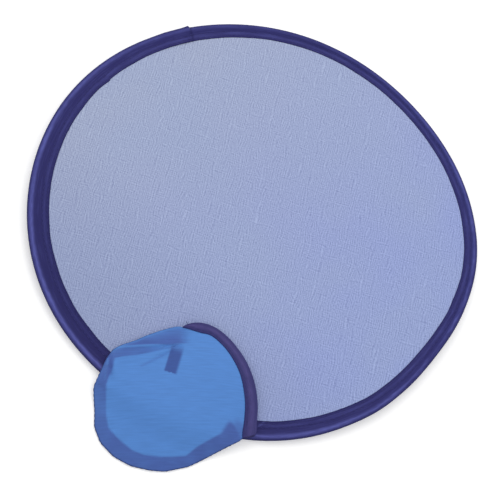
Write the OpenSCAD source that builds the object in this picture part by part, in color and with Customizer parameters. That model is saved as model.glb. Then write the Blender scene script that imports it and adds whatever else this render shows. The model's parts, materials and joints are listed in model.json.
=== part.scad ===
// Folding fabric flying disc with a sprung hoop, and the round pouch it is kept in.
// The disc lies flat, with its pouch laid over the front of its rim.

/* [Hoop] */
// Radius of the hoop, at the middle of its spring band
hoop_radius = 120.8; // [100:0.1:150]
// How far the hoop rises and dips from its mean level, like a saddle
saddle_height = 2.5; // [0.5:0.1:4]
// Fourfold waviness of the hoop
wave_four = 0.5; // [0:0.05:1]
// Fivefold waviness of the hoop
wave_five = 0.45; // [0:0.05:1]
// Height of the spring steel band, which stands on edge
band_height = 2.4; // [1.8:0.1:3]
// Thickness of the spring steel band
band_thickness = 0.6; // [0.4:0.05:0.8]
// Length of the crimped sleeve that joins the band's ends
sleeve_length = 16; // [10:1:24]
// Wall of the crimped sleeve
sleeve_wall = 0.25; // [0.15:0.05:0.4]
// Bearing of the sleeve and of the tape's overlapped end
splice_at = 131; // [110:1:150]

/* [Disc cloth] */
// Thickness of one layer of cloth
cloth_thickness = 0.2; // [0.1:0.05:0.3]
// Thickness of the binding tape
tape_thickness = 0.25; // [0.15:0.05:0.35]
// Width of the binding, from the middle of the band to its inner edge
flap_width = 7.8; // [6.8:0.1:12]
// How much wider the binding is on its wide side, and narrower opposite
flap_shift = 1.9; // [0:0.1:2]
// Bearing of the binding's wide side
flap_shift_at = 218; // [200:1:240]
// Length of the tape's overlapped end
overlap_length = 14; // [8:1:20]
// Distance of the inner seam from the binding's inner edge
inner_seam_inset = 1.3; // [0.8:0.1:1.8]
// Distance of the channel seam from the binding's inner edge
channel_seam_inset = 3.7; // [2.8:0.1:4]
// How far the cloth reaches past the channel seam, towards the band
cloth_reach = 0.8; // [0.3:0.1:1]
// Thickness of the sewing thread
thread_thickness = 0.2; // [0.1:0.05:0.3]

/* [Pouch] */
// Radius of the pouch's round end, and half its width
pouch_radius = 34.8; // [30:0.2:40]
// Distance from the line that the lip folds on to the centre of the round end
pouch_straight = 30.5; // [24:0.5:40]
// How far the mouth's edge curves out from the line between its ends
mouth_depth = 19; // [16:0.5:24]
// How far the ends of the mouth's edge lie past the line that the lip folds on
mouth_corner_out = 2.4; // [2:0.1:4]
// Width of the mouth's binding where it is widest
mouth_binding_width = 7.6; // [5:0.1:9]
// How much the mouth's binding narrows towards its ends
mouth_binding_taper = 3.6; // [1:0.1:3.8]
// Width of the edges that are turned in at the pouch's seam
turned_in = 6.5; // [4:0.5:9]
// Height that the pouch swells to between its panels
puff = 7.5; // [6:0.5:12]
// Gap between the panels at the side seam
edge_gap = 0.8; // [0.7:0.1:1.2]
// Gap between the panels at the mouth
mouth_gap = 1.6; // [1.4:0.1:3]
// Width of the tape's loose end inside the pouch
tail_width = 6; // [4:0.5:8]
// Length of the tape's loose end inside the pouch
tail_length = 22; // [12:1:26]
// Length of the loose thread at the mouth's corner
thread_tail_length = 3; // [2:0.5:6]

/* [Pouch place] */
// How far inside the hoop the middle of the lip's fold line lies
pouch_inset = 24.5; // [20:0.5:30]
// Bearing of the pouch from the middle of the disc
pouch_bearing = -80.6; // [-95:0.1:-75]
// Direction that the mouth faces
pouch_turn = 50; // [40:1:60]

/* [Clearances] */
// Gap between a layer of cloth and what lies on it
slack = 0.04; // [0.02:0.01:0.06]
// Gap between the pouch's panels and the binding folded round them
mouth_slack = 0.12; // [0.12:0.01:0.16]
// Gap round the band in its channel
band_clearance = 0.22; // [0.2:0.01:0.3]
// Gap between the pouch's back panel and the disc
lay_gap = 0.75; // [0.7:0.05:1]
// Gap between the tape's loose end and the front panel
tail_gap = 0.4; // [0.3:0.05:0.8]
// Gap between the two halves of a piece that is cut at a fold
fold_gap = 0.1; // [0.05:0.05:0.2]

/* [Hidden] */

cloth_blue = [0.63, 0.69, 0.82];
tape_blue = [0.21, 0.20, 0.43];
thread_blue = [0.29, 0.32, 0.53];
pouch_blue = [0.36, 0.55, 0.82];
pouch_tape_blue = [0.24, 0.25, 0.45];
steel = [0.72, 0.73, 0.75];

// Hoop
wave_four_at = 26;
wave_five_at = 19;
half_steps = 36;
bead_points = 10;
bead_from = 115;
bead_step = 2 * bead_from / (bead_points - 1);
bead_radius = norm([band_thickness, band_height]) / 2 + band_clearance + tape_thickness;
flat_margin = 0.02;
rest_flat = bead_radius * (1 - sin(bead_from - 2 * bead_step)) + flat_margin;
mean_z = bead_radius - rest_flat + saddle_height;
fold_axis_z = mean_z + saddle_height + bead_radius + slack;

// Splice
sleeve_half = [band_thickness / 2, band_height / 2] + [1, 1] * (slack + sleeve_wall);
sleeve_hole = [band_thickness / 2, band_height / 2] + [1, 1] * slack;
sleeve_slit = 0.1;
swell = max(0, norm(sleeve_half) + slack + tape_thickness - bead_radius);
swell_run = 4;
bead_lead = 180 / half_steps;
sleeve_angle = sleeve_length / 2 / hoop_radius * 180 / PI;
overlap_angle = overlap_length / hoop_radius * 180 / PI;
step_angle = 0.15;
band_butt = 0.1;

// Binding
slot_half = cloth_thickness / 2 + slack;
flap_half = slot_half + tape_thickness;

// Pouch
mouth_radius = (pow(pouch_radius, 2) + pow(mouth_depth, 2)) / (2 * mouth_depth);
mouth_end = asin(pouch_radius / mouth_radius);
mouth_setback = mouth_radius * cos(mouth_end) - mouth_corner_out;
mouth_middle = (hoop_radius - pouch_inset) * [cos(pouch_bearing), sin(pouch_bearing)];
body_end = pouch_straight + pouch_radius;
lip_end = mouth_radius - mouth_setback;
pouch_half_length = (body_end + lip_end) / 2;
pouch_middle = (lip_end - body_end) / 2;
rim_ramp = 14;
drape_start = 4;
drape_run = 14;
mouth_run = 15;
panel_rays = 30;
panel_rings = 6;
lip_columns = 3;
step_width = 0.2;
mouth_half = cloth_thickness / 2 + mouth_slack + tape_thickness;
mouth_steps = 22;
mouth_seam_inset = 1.3;
mouth_skew = 8;
mouth_spread = 1.5;
mouth_clear_of_fold = 0.3;
tip_run = 7;
tip_share = 0.35;
turned_ply = cloth_thickness + slack;
tail_from_mouth = 5.2;
tail_from_side = 5.1;
tail_bearing = 229.5;
tail_steps = 8;

// Middle of the whole object, seen from above
pouch_low = mouth_middle.y - pouch_straight * sin(pouch_turn) - pouch_radius;
middle_y = (hoop_radius + bead_radius + pouch_low) / 2;

function smooth(t) = let (c = max(0, min(1, t))) c * c * (3 - 2 * c);
function mix(a, b, t) = a + (b - a) * t;

// The hoop's radius and height at a bearing
function hoop_r(a) = hoop_radius + wave_four * cos(4 * (a - wave_four_at))
    + wave_five * cos(5 * (a - wave_five_at));
function hoop_z(a) = mean_z + saddle_height * cos(2 * a);

// Height of the cloth, which is a shallow saddle inside the hoop
function cloth_z(x, y) = let (a = atan2(y, x))
    mean_z + saddle_height * cos(2 * a) * pow(norm([x, y]) / hoop_r(a), 2);

// A point of a section through the rim: p is its place out from the band's middle and up
function rim_point(a, p, low = 0) = let (r = hoop_r(a) + p.x, x = r * cos(a), y = r * sin(a))
    [x, y, max(low, cloth_z(x, y) + p.y)];

// The binding's width, seam places and plies at a bearing
function flap_at(a) = flap_width + flap_shift * cos(a - flap_shift_at);
function channel_at(a) = flap_at(a) - channel_seam_inset;
function bend_at(a) = channel_at(a) - thread_thickness;
function ply_at(a) = a > splice_at && a < splice_at + overlap_angle ? tape_thickness + slack : 0;
function bead_at(a) = bead_radius
    + swell * (1 - smooth((abs(a - splice_at) - sleeve_angle - bead_lead) / swell_run));

front_angles = [for (i = [0:half_steps]) 180 + i * 180 / half_steps];
even_rear = [for (i = [0:half_steps]) i * 180 / half_steps];
splice_angles = [-sleeve_angle, 0, step_angle, sleeve_angle, overlap_angle - step_angle, overlap_angle];
function insert(list, x) = concat([for (a = list) if (a < x) a], [x], [for (a = list) if (a > x) a]);
function insert_all(list, more, i = 0) = i == len(more) ? list
    : insert_all(insert(list, splice_at + more[i]), more, i + 1);
rear_angles = insert_all(even_rear, splice_angles);

function tape_profile(a, radius, half) = concat(
    [[-flap_at(a), half], [-bend_at(a), half]],
    [for (i = [0:bead_points - 1]) let (t = bead_from - i * bead_step) radius * [cos(t), sin(t)]],
    [[-bend_at(a), -half], [-flap_at(a), -half]]
);
function reversed(list) = [for (i = [len(list) - 1:-1:0]) list[i]];
function tape_section(a) = concat(
    [for (p = tape_profile(a, bead_at(a) + ply_at(a), flap_half + ply_at(a))) rim_point(a, p)],
    reversed([for (p = tape_profile(a, bead_at(a) - tape_thickness, slot_half))
        rim_point(a, p, tape_thickness)])
);
function box_section(a, half, at = [0, 0]) = [
    for (c = [[-1, 1], [1, 1], [1, -1], [-1, -1]]) rim_point(a, at + [c.x * half.x, c.y * half.y])
];
function sleeve_section(a) = [
    for (p = [
        [-sleeve_half.x, sleeve_slit], sleeve_half - [2 * sleeve_half.x, 0], sleeve_half,
        [sleeve_half.x, -sleeve_half.y], -sleeve_half, [-sleeve_half.x, -sleeve_slit],
        [-sleeve_hole.x, -sleeve_slit], -sleeve_hole, [sleeve_hole.x, -sleeve_hole.y],
        sleeve_hole, sleeve_hole - [2 * sleeve_hole.x, 0], [-sleeve_hole.x, sleeve_slit]
    ]) rim_point(a, p)
];

// A solid through a row of sections of the same, even number of points, whose second half
// runs back along the first, so that a pair of points spans each end. A section runs out and
// back as many times as it has layers, and each layer's faces are split alike.
module sweep(rows, layers = 1) {
    n = len(rows[0]);
    last = (len(rows) - 1) * n;
    sides = [
        for (i = [0:len(rows) - 2], j = [0:n - 1])
            let (a = i * n + j, b = i * n + (j + 1) % n, back = floor(j * layers * 2 / n) % 2 == 1)
            each back ? [[a, a + n, b + n], [a, b + n, b]] : [[a, a + n, b], [b, a + n, b + n]]
    ];
    caps = [
        for (j = [0:n / 2 - 2])
            let (a = j, b = j + 1, c = n - 2 - j, d = n - 1 - j)
            for (t = j < n / 4 - 1 ? [[a, b, d], [b, c, d]] : [[a, b, c], [a, c, d]])
                each [t, [last + t[0], last + t[2], last + t[1]]]
    ];
    polyhedron([for (row = rows) each row], concat(sides, caps), convexity = 8);
}

// A sheet spread from one middle point: tops and bottoms hold a row of points for each ray
module fan(middle_top, middle_bottom, tops, bottoms, whole = false) {
    rays = len(tops);
    rings = len(tops[0]);
    low = 2 + rays * rings;
    spans = whole ? rays : rays - 1;
    faces = [
        for (j = [0:spans - 1])
            let (k = (j + 1) % rays, a = 2 + j * rings, b = 2 + k * rings,
                c = low + j * rings, d = low + k * rings)
            each concat(
                [[0, b, a], [1, c, d]],
                [for (i = [0:rings - 2]) each [
                    [a + i, b + i, a + i + 1], [b + i, b + i + 1, a + i + 1],
                    [c + i, c + i + 1, d + i], [d + i, c + i + 1, d + i + 1]
                ]],
                [[a + rings - 1, b + rings - 1, d + rings - 1],
                    [a + rings - 1, d + rings - 1, c + rings - 1]]
            )
    ];
    e = 2 + (rays - 1) * rings;
    f = low + (rays - 1) * rings;
    ends = whole ? [] : concat(
        [[0, 2, low], [0, low, 1], [0, f, e], [0, 1, f]],
        [for (i = [0:rings - 2]) each [
            [2 + i, 2 + i + 1, low + i], [2 + i + 1, low + i + 1, low + i],
            [e + i, f + i, e + i + 1], [e + i + 1, f + i, f + i + 1]
        ]]
    );
    polyhedron(concat([middle_top, middle_bottom], [for (r = tops) each r], [for (r = bottoms) each r]),
        concat(faces, ends), convexity = 8);
}

// Every piece is drawn about the middle of the disc, and then set on the object's own middle
module set_down(side = 0) {
    translate([0, side * fold_gap / 2 - middle_y, 0]) children();
}

// Disc
disc_rings = 6;
module membrane(angles) {
    function row(side) = [
        for (a = angles) [
            for (i = [1:disc_rings])
                let (r = (hoop_r(a) - channel_at(a) + cloth_reach) * i / disc_rings,
                    x = r * cos(a), y = r * sin(a))
                [x, y, cloth_z(x, y) + side * cloth_thickness / 2]
        ]
    ];
    color(cloth_blue)
        fan([0, 0, mean_z + cloth_thickness / 2], [0, 0, mean_z - cloth_thickness / 2],
            row(1), row(-1));
}

module edge_binding(angles) {
    color(tape_blue) sweep([for (a = angles) tape_section(a)], layers = 2);
}

module spring_band(angles) {
    color(steel) sweep([for (a = angles) box_section(a, [band_thickness, band_height] / 2)]);
}

// The needle's thread runs on top of the tape and the bobbin's thread under it
module seam(angles, inset) {
    half = [thread_thickness, thread_thickness] / 2;
    for (side = [1, -1])
        color(thread_blue)
            sweep([for (a = angles) box_section(a, half,
                [inset - flap_at(a), side * (flap_half + ply_at(a) + slack + half.y)])]);
}

module splice_sleeve() {
    reach = sleeve_angle + step_angle / 2;
    set_down(1)
        color(steel)
            sweep([for (a = rear_angles) if (abs(a - splice_at) < reach) sleeve_section(a)]);
}

module membrane_front() { set_down(-1) membrane(front_angles); }
module membrane_rear() { set_down(1) membrane(rear_angles); }
module edge_binding_front() { set_down(-1) edge_binding(front_angles); }
module edge_binding_rear() { set_down(1) edge_binding(rear_angles); }
module spring_band_front() { set_down(-1) spring_band(front_angles); }
module spring_band_rear() {
    butt = band_butt / hoop_radius * 180 / PI;
    set_down(1) {
        spring_band(concat([for (a = rear_angles) if (a < splice_at - step_angle) a],
            [splice_at - butt]));
        spring_band([for (a = rear_angles) if (a > splice_at + step_angle / 2) a]);
    }
}
module inner_seam_front() { set_down(-1) seam(front_angles, inner_seam_inset); }
module inner_seam_rear() { set_down(1) seam(rear_angles, inner_seam_inset); }
module channel_seam_front() { set_down(-1) seam(front_angles, channel_seam_inset); }
module channel_seam_rear() { set_down(1) seam(rear_angles, channel_seam_inset); }

// Pouch: u runs out through its mouth and v across it, from the middle of the lip's fold line
function pouch_xy(u, v) = mouth_middle
    + [u * cos(pouch_turn) - v * sin(pouch_turn), u * sin(pouch_turn) + v * cos(pouch_turn)];

// Height of the back panel's underside, which lies on the disc, over its rim and on the ground
function lie_z(x, y) = let (
        a = atan2(y, x),
        out = norm([x, y]) - hoop_r(a),
        rim = hoop_z(a) + bead_radius + lay_gap,
        inside = cloth_z(x, y) + flap_half + thread_thickness + lay_gap
    )
    out < 0 ? mix(rim, inside, smooth(-out / rim_ramp))
        : rim * (1 - smooth((out - drape_start) / drape_run));

// Gap between the panels
function gap_at(u, v) = edge_gap + (mouth_gap - edge_gap) * smooth(u / mouth_run + 0.7)
    + puff * max(0, 1 - pow((u - pouch_middle) / pouch_half_length, 2) - pow(v / pouch_radius, 2));
function panel_z(u, v, front) = let (p = pouch_xy(u, v))
    lie_z(p.x, p.y) + (front ? cloth_thickness + gap_at(u, v) : 0);

// Rays run out from the centre of the mouth's curve, all round: t is a ray and r is along it
function ray_u(t, r) = r * cos(t) - mouth_setback;
function ray_v(t, r) = r * sin(t);
function mouth_width(t) = min(
    (mouth_binding_width - mouth_binding_taper * (1 - cos(mouth_spread * (t + mouth_skew))))
        * max(tip_share, min(1, (mouth_end - t) / tip_run)),
    mouth_radius - (mouth_setback + mouth_clear_of_fold) / cos(t)
);

// A point up from a panel's underside, which is straight across the mouth's binding
function ray_point(t, r, up, front) = let (
        in_r = mouth_radius - mouth_width(t),
        out_r = mouth_radius - tape_thickness,
        bound = abs(t) < mouth_end + step_angle && r > in_r,
        z_in = panel_z(ray_u(t, in_r), ray_v(t, in_r), front),
        z_out = panel_z(ray_u(t, out_r), ray_v(t, out_r), front),
        z = bound ? mix(z_in, z_out, (r - in_r) / (out_r - in_r))
            : panel_z(ray_u(t, r), ray_v(t, r), front),
        p = pouch_xy(ray_u(t, r), ray_v(t, r))
    )
    [p.x, p.y, z + up];

// Distance along a ray to the pouch's outline, behind the mouth's corners
round_back = pouch_straight - mouth_setback;
function body_reach(t) = let (side = pouch_radius / max(0.001, abs(sin(t))))
    side * -cos(t) < round_back ? side
        : -round_back * cos(t) + sqrt(pow(pouch_radius, 2) - pow(round_back * sin(t), 2));
corner = atan2(pouch_radius, mouth_setback);
lip_corner = corner - 0.5;
mouth_angles = [for (i = [0:mouth_steps]) mouth_end * (2 * i / mouth_steps - 1)];
body_rays = [for (i = [0:panel_rays]) corner + i * (360 - 2 * corner) / panel_rays];
all_rays = concat(mouth_angles, body_rays);
lip_rays = concat([-lip_corner], mouth_angles, [lip_corner]);

function even_radii(from, to, n) = [for (i = [0:n]) mix(from, to, i / n)];
function body_radii(t) = let (inner = body_reach(t) - turned_in, step = (inner - step_width) / panel_rings)
    concat(even_radii(step, inner - step_width, panel_rings - 1), [inner, body_reach(t)]);
lip_edge = mouth_radius - tape_thickness - 2 * slack;

module pouch_back_panel() {
    function radii(t) = abs(t) > mouth_end + step_angle ? body_radii(t)
        : let (in_r = mouth_radius - mouth_width(t))
            concat(even_radii(in_r / (panel_rings + 1), in_r, panel_rings), [lip_edge]);
    function ply(t, i) = t >= corner && i >= panel_rings ? turned_ply : 0;
    function rows(up, turned) = [
        for (t = all_rays) let (r = radii(t)) [
            for (i = [0:len(r) - 1]) ray_point(t, r[i], up + turned * ply(t, i), false)
        ]
    ];
    set_down()
        color(pouch_blue)
            fan(ray_point(0, 0, cloth_thickness, false), ray_point(0, 0, 0, false),
                rows(cloth_thickness, 1), rows(0, 0), whole = true);
}

// The front panel ends at the line between the mouth's corners, where its lip folds open
module pouch_front_panel() {
    function radii(t) = abs(t) > mouth_end + step_angle ? body_radii(t)
        : let (to = mouth_setback / cos(t)) even_radii(to / (panel_rings + 2), to, panel_rings + 1);
    function ply(t, i) = t >= corner && i >= panel_rings ? turned_ply : 0;
    function rows(up, turned) = [
        for (t = all_rays) let (r = radii(t)) [
            for (i = [0:len(r) - 1]) ray_point(t, r[i], up - turned * ply(t, i), true)
        ]
    ];
    set_down()
        color(pouch_blue)
            fan(ray_point(0, 0, cloth_thickness, true), ray_point(0, 0, 0, true),
                rows(cloth_thickness, 0), rows(0, 1), whole = true);
}

module front_panel_lip() {
    function radii(t) = let (from = (mouth_setback + fold_gap) / cos(t))
        abs(t) > mouth_end + step_angle
            ? even_radii(from, (pouch_radius - tape_thickness) / abs(sin(t)), lip_columns + 1)
            : concat(even_radii(from, mouth_radius - mouth_width(t), lip_columns), [lip_edge]);
    set_down()
        color(pouch_blue)
            sweep([
                for (t = lip_rays) concat(
                    [for (r = radii(t)) ray_point(t, r, cloth_thickness, true)],
                    [for (r = reversed(radii(t))) ray_point(t, r, 0, true)]
                )
            ]);
}

// A point of a section through the mouth's binding, from the panel's middle at its edge
function mouth_point(t, p, front) = ray_point(t, mouth_radius + p.x, cloth_thickness / 2 + p.y, front);

module mouth_binding(front) {
    h = mouth_half;
    t1 = tape_thickness;
    q = h - t1;
    color(pouch_tape_blue)
        sweep([
            for (t = mouth_angles) let (w = mouth_width(t)) [
                for (p = [
                    [-w, h], [-t1, h], [0, h / 2], [0, -h / 2], [-t1, -h], [-w, -h],
                    [-w, -q], [-t1, -q], [-t1, -q / 2], [-t1, q / 2], [-t1, q], [-w, q]
                ]) mouth_point(t, p, front)
            ]
        ], layers = 2);
}

module mouth_seam(front) {
    half = thread_thickness / 2;
    for (side = [1, -1])
        color(thread_blue)
            sweep([
                for (t = mouth_angles) let (
                    w = mouth_width(t),
                    at = [min(mouth_seam_inset, w / 2) - w, side * (mouth_half + 2 * slack + half)]
                ) [
                    for (c = [[-1, 1], [1, 1], [1, -1], [-1, -1]])
                        mouth_point(t, at + half * c, front)
                ]
            ]);
}

module front_mouth_binding() { set_down() mouth_binding(true); }
module back_mouth_binding() { set_down() mouth_binding(false); }
module front_mouth_seam() { set_down() mouth_seam(true); }
module back_mouth_seam() { set_down() mouth_seam(false); }

// The side seam's thread runs in the groove between the two panels' edges
module side_seam() {
    half = thread_thickness / 2;
    set_down()
        color(thread_blue)
            sweep([
                for (t = body_rays) let (
                    e = body_reach(t) + slack + half,
                    up = cloth_thickness + gap_at(ray_u(t, e), ray_v(t, e)) / 2
                ) [
                    for (c = [[-1, 1], [1, 1], [1, -1], [-1, -1]])
                        ray_point(t, e + c.x * half, up + c.y * half, false)
                ]
            ]);
}

// The binding tape's loose end lies inside, under the front panel, from near the mouth's corner
module tape_tail() {
    start = [-tail_from_mouth, pouch_radius - tail_from_side];
    along = [cos(tail_bearing), sin(tail_bearing)];
    across = [-along.y, along.x];
    tail_down = turned_ply + tail_gap + tape_thickness;
    set_down()
        color(pouch_tape_blue)
            sweep([
                for (i = [0:tail_steps]) [
                    for (c = [[1, 1], [-1, 1], [-1, 0], [1, 0]]) let (
                        p = start + along * tail_length * i / tail_steps
                            + across * c.x * tail_width / 2,
                        q = pouch_xy(p.x, p.y)
                    )
                    [q.x, q.y, panel_z(p.x, p.y, true) - tail_down + c.y * tape_thickness]
                ]
            ]);
}

// A few millimetres of thread stand up from the mouth's corner, out of the binding's tip
module thread_tail() {
    rise = mouth_half + slack + thread_thickness / 2;
    sides = 6;
    steps = 6;
    t0 = mouth_end - tip_run / 2;
    set_down()
        color(thread_blue)
            sweep([
                for (i = [0:steps]) let (
                    s = i / steps,
                    middle = mouth_point(t0, [-0.5 + thread_tail_length * s,
                        rise + slack + thread_tail_length / 4 * s * s], true)
                ) [
                    for (k = [0:sides - 1]) let (t = k * 360 / sides)
                        middle + thread_thickness / 2
                            * [-sin(pouch_turn) * cos(t), cos(pouch_turn) * cos(t), sin(t)]
                ]
            ]);
}

membrane_front();
membrane_rear();
edge_binding_front();
edge_binding_rear();
spring_band_front();
spring_band_rear();
splice_sleeve();
inner_seam_front();
inner_seam_rear();
channel_seam_front();
channel_seam_rear();
pouch_back_panel();
pouch_front_panel();
front_panel_lip();
front_mouth_binding();
back_mouth_binding();
front_mouth_seam();
back_mouth_seam();
side_seam();
tape_tail();
thread_tail();
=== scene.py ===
import json
import math
import random

import bmesh
import bpy
from mathutils import Matrix, Vector, noise


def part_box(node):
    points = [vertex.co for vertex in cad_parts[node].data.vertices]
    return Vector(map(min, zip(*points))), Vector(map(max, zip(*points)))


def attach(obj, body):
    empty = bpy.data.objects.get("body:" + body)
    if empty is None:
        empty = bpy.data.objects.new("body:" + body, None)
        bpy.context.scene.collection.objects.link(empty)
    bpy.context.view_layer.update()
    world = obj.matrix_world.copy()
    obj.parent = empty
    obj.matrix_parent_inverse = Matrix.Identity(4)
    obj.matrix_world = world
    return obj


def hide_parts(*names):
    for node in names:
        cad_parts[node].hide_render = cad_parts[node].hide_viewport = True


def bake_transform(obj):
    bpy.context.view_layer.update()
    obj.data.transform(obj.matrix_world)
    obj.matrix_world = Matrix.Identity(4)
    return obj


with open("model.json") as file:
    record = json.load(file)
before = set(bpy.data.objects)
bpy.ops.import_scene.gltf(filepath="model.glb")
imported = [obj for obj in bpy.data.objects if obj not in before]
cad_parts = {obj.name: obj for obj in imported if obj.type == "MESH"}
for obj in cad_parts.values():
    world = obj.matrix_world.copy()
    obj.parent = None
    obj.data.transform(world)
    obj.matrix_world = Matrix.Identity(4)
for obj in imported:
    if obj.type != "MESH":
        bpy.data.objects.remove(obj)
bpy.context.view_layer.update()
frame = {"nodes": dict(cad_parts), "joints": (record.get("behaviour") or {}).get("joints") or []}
joints = {joint["name"]: joint for joint in frame["joints"]}
mm = 0.001
print("frame loaded:", len(frame["nodes"]), "nodes")


# Small sums that every piece uses; lengths are in millimetres and angles in degrees
def clamp(t):
    return max(0.0, min(1.0, t))


def smooth(t):
    t = clamp(t)
    return t * t * (3 - 2 * t)


def mix(a, b, t):
    return a + (b - a) * t


def cosd(a):
    return math.cos(math.radians(a))


def sind(a):
    return math.sin(math.radians(a))


def bearing(x, y):  # from 0 to 360
    return math.degrees(math.atan2(y, x)) % 360


def aroundZero(t):  # the same bearing, from -180 to 180
    return (t + 180) % 360 - 180


def bump(x, width):  # 1 at nought, fading to nothing past width
    return math.exp(-(x / width) ** 2)


def swell(a, place):  # place is a bearing, the run that the swell fades over, and the most it gives
    at, run, most = place
    return most * bump(aroundZero(a - at), run)


def roughly(x, y, size, seed=0.0):  # smooth noise from -1 to 1 over patches of that size
    return noise.noise(Vector((x / size, y / size, seed)))


def fromSrgb(red, green, blue):
    channels = [c / 255 for c in (red, green, blue)]
    linear = [c / 12.92 if c <= 0.04045 else ((c + 0.055) / 1.055) ** 2.4 for c in channels]
    return (*linear, 1.0)


# The hoop, about the middle of the disc
hoop = {
    "radius": 120.8,
    "saddle": 2.5,
    "fourfold": 0.5, "fourfoldAt": 26,
    "fivefold": 0.45, "fivefoldAt": 19,
    "bends": [(325, 6, 0.45), (346, 8, -0.65), (15, 11, 0.5)],  # swells: bearing, run, how far out
    "bandHeight": 2.4, "bandThickness": 0.6, "steps": 240,
    "spliceAt": 131,
}
foldPoint = Vector(joints["disc_fold"]["pos_m"]) / mm
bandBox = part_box("spring_band_front")
meanHeight = (bandBox[0].z + bandBox[1].z) / 2 / mm


def hoopRadius(a):
    bent = sum(swell(a, bend) for bend in hoop["bends"])
    return (hoop["radius"] + bent + hoop["fourfold"] * cosd(4 * (a - hoop["fourfoldAt"]))
            + hoop["fivefold"] * cosd(5 * (a - hoop["fivefoldAt"])))


def hoopHeight(a):
    return meanHeight + hoop["saddle"] * cosd(2 * a)


def clothHeight(x, y):
    a = bearing(x, y)
    return meanHeight + hoop["saddle"] * cosd(2 * a) * (math.hypot(x, y) / hoopRadius(a)) ** 2


# Meshes
def spun(points, steps):  # a row of points in the XZ plane, spun once round Z
    bm = bmesh.new()
    verts = [bm.verts.new((x, 0, z)) for x, z in points]
    edges = [bm.edges.new(pair) for pair in zip(verts, verts[1:])]
    bmesh.ops.spin(bm, geom=verts + edges, cent=(0, 0, 0), axis=(0, 0, 1),
                   angle=math.radians(360), steps=steps, use_merge=True)
    bmesh.ops.remove_doubles(bm, verts=bm.verts, dist=1e-5)
    return bm


# A grid bent into place: place and flatPlace take shares along and across, from 0 to 1, and give a
# point in space and a point on the flat cloth. paint gives the values painted on the mesh there.
def bentGrid(columns, rows, place, flatPlace, paint=None):
    bm = bmesh.new()
    flat = bm.loops.layers.uv.new("UVMap")
    bmesh.ops.create_grid(bm, x_segments=columns, y_segments=rows, size=0.5)
    for face in bm.faces:
        for loop in face.loops:
            loop[flat].uv = Vector(flatPlace(loop.vert.co.x + 0.5, loop.vert.co.y + 0.5)) * mm
    painted = {name: bm.verts.layers.float.new(name) for name in (paint(0, 0) if paint else {})}
    for vert in bm.verts:
        s, t = vert.co.x + 0.5, vert.co.y + 0.5
        for name, value in (paint(s, t) if paint else {}).items():
            vert[painted[name]] = value
        vert.co = place(s, t)
    bmesh.ops.remove_doubles(bm, verts=bm.verts, dist=1e-4)
    return bm


# A tape swept along an edge. Each row is a point of its section, angle gives the bearing at a share of
# the length, and the section's own width is measured at one bearing.
def sweptTape(steps, rows, angle, length, measuredAt, place, paint):
    across = [0.0]
    for one, two in zip(rows, rows[1:]):
        across.append(across[-1] + (place(measuredAt, *one) - place(measuredAt, *two)).length)
    last = len(rows) - 1
    return bentGrid(steps, last,
                    lambda s, t: place(angle(s), *rows[round(t * last)]),
                    lambda s, t: (length * s, across[round(t * last)]),
                    lambda s, t: paint(angle(s), *rows[round(t * last)][:2]))


def closeEnds(bm):
    edges = [edge for edge in bm.edges if edge.is_boundary]
    bmesh.ops.holes_fill(bm, edges=edges, sides=0)
    return bm


def setUv(bm, where):  # where gives a vertex's place on the flat cloth, in millimetres
    layer = bm.loops.layers.uv.verify()
    for face in bm.faces:
        for loop in face.loops:
            loop[layer].uv = Vector(where(loop.vert)) * mm


def finishPiece(name, bm, material):
    bmesh.ops.recalc_face_normals(bm, faces=bm.faces)
    bmesh.ops.translate(bm, verts=bm.verts, vec=(0, foldPoint.y, 0))
    bmesh.ops.scale(bm, verts=bm.verts, vec=(mm, mm, mm))
    mesh = bpy.data.meshes.new(name)
    bm.to_mesh(mesh)
    bm.free()
    mesh.shade_smooth()
    piece = bpy.data.objects.new(name, mesh)
    bpy.context.scene.collection.objects.link(piece)
    mesh.materials.append(material)
    return piece


def thicken(piece, thickness):
    solid = piece.modifiers.new("Thickness", "SOLIDIFY")
    solid.thickness = thickness * mm
    solid.offset = 0


def bendAcrossFold(piece):
    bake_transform(piece)


# Material nodes
def addNode(tree, kind, inputs=None, **settings):
    node = tree.nodes.new(kind)
    for name, value in settings.items():
        setattr(node, name, value)
    for key, value in (inputs or {}).items():
        if isinstance(value, bpy.types.NodeSocket):
            tree.links.new(value, node.inputs[key])
        else:
            node.inputs[key].default_value = value
    return node


def newMaterial(name, values):  # the values go on the shader's own sockets
    material = bpy.data.materials.new(name)
    material.use_nodes = True
    tree = material.node_tree
    tree.nodes.clear()
    output = tree.nodes.new("ShaderNodeOutputMaterial")
    shader = addNode(tree, "ShaderNodeBsdfPrincipled", values)
    tree.links.new(shader.outputs["BSDF"], output.inputs["Surface"])
    return material, tree, shader


def calc(tree, operation, *values):
    return addNode(tree, "ShaderNodeMath", dict(enumerate(values)), operation=operation).outputs[0]


def remap(tree, value, low, high, toLow=0.0, toHigh=1.0):
    node = addNode(tree, "ShaderNodeMapRange", {0: value, 1: low, 2: high, 3: toLow, 4: toHigh})
    return node.outputs[0]


def mixColours(tree, factor, a, b, how="MIX"):
    node = addNode(tree, "ShaderNodeMix", {0: factor, 6: a, 7: b}, data_type="RGBA", blend_type=how)
    return node.outputs[2]


def attribute(tree, name):  # a value painted on the mesh
    return addNode(tree, "ShaderNodeAttribute", attribute_name=name).outputs["Fac"]


def clothUv(tree, turn=0.0):  # the flat cloth's own two directions, in millimetres
    uv = addNode(tree, "ShaderNodeUVMap")
    turned = addNode(tree, "ShaderNodeMapping", {
        "Vector": uv.outputs[0], "Rotation": (0, 0, math.radians(turn)), "Scale": (1000, 1000, 1)})
    parts = addNode(tree, "ShaderNodeSeparateXYZ", {0: turned.outputs[0]})
    return turned.outputs[0], parts.outputs[0], parts.outputs[1]


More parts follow.
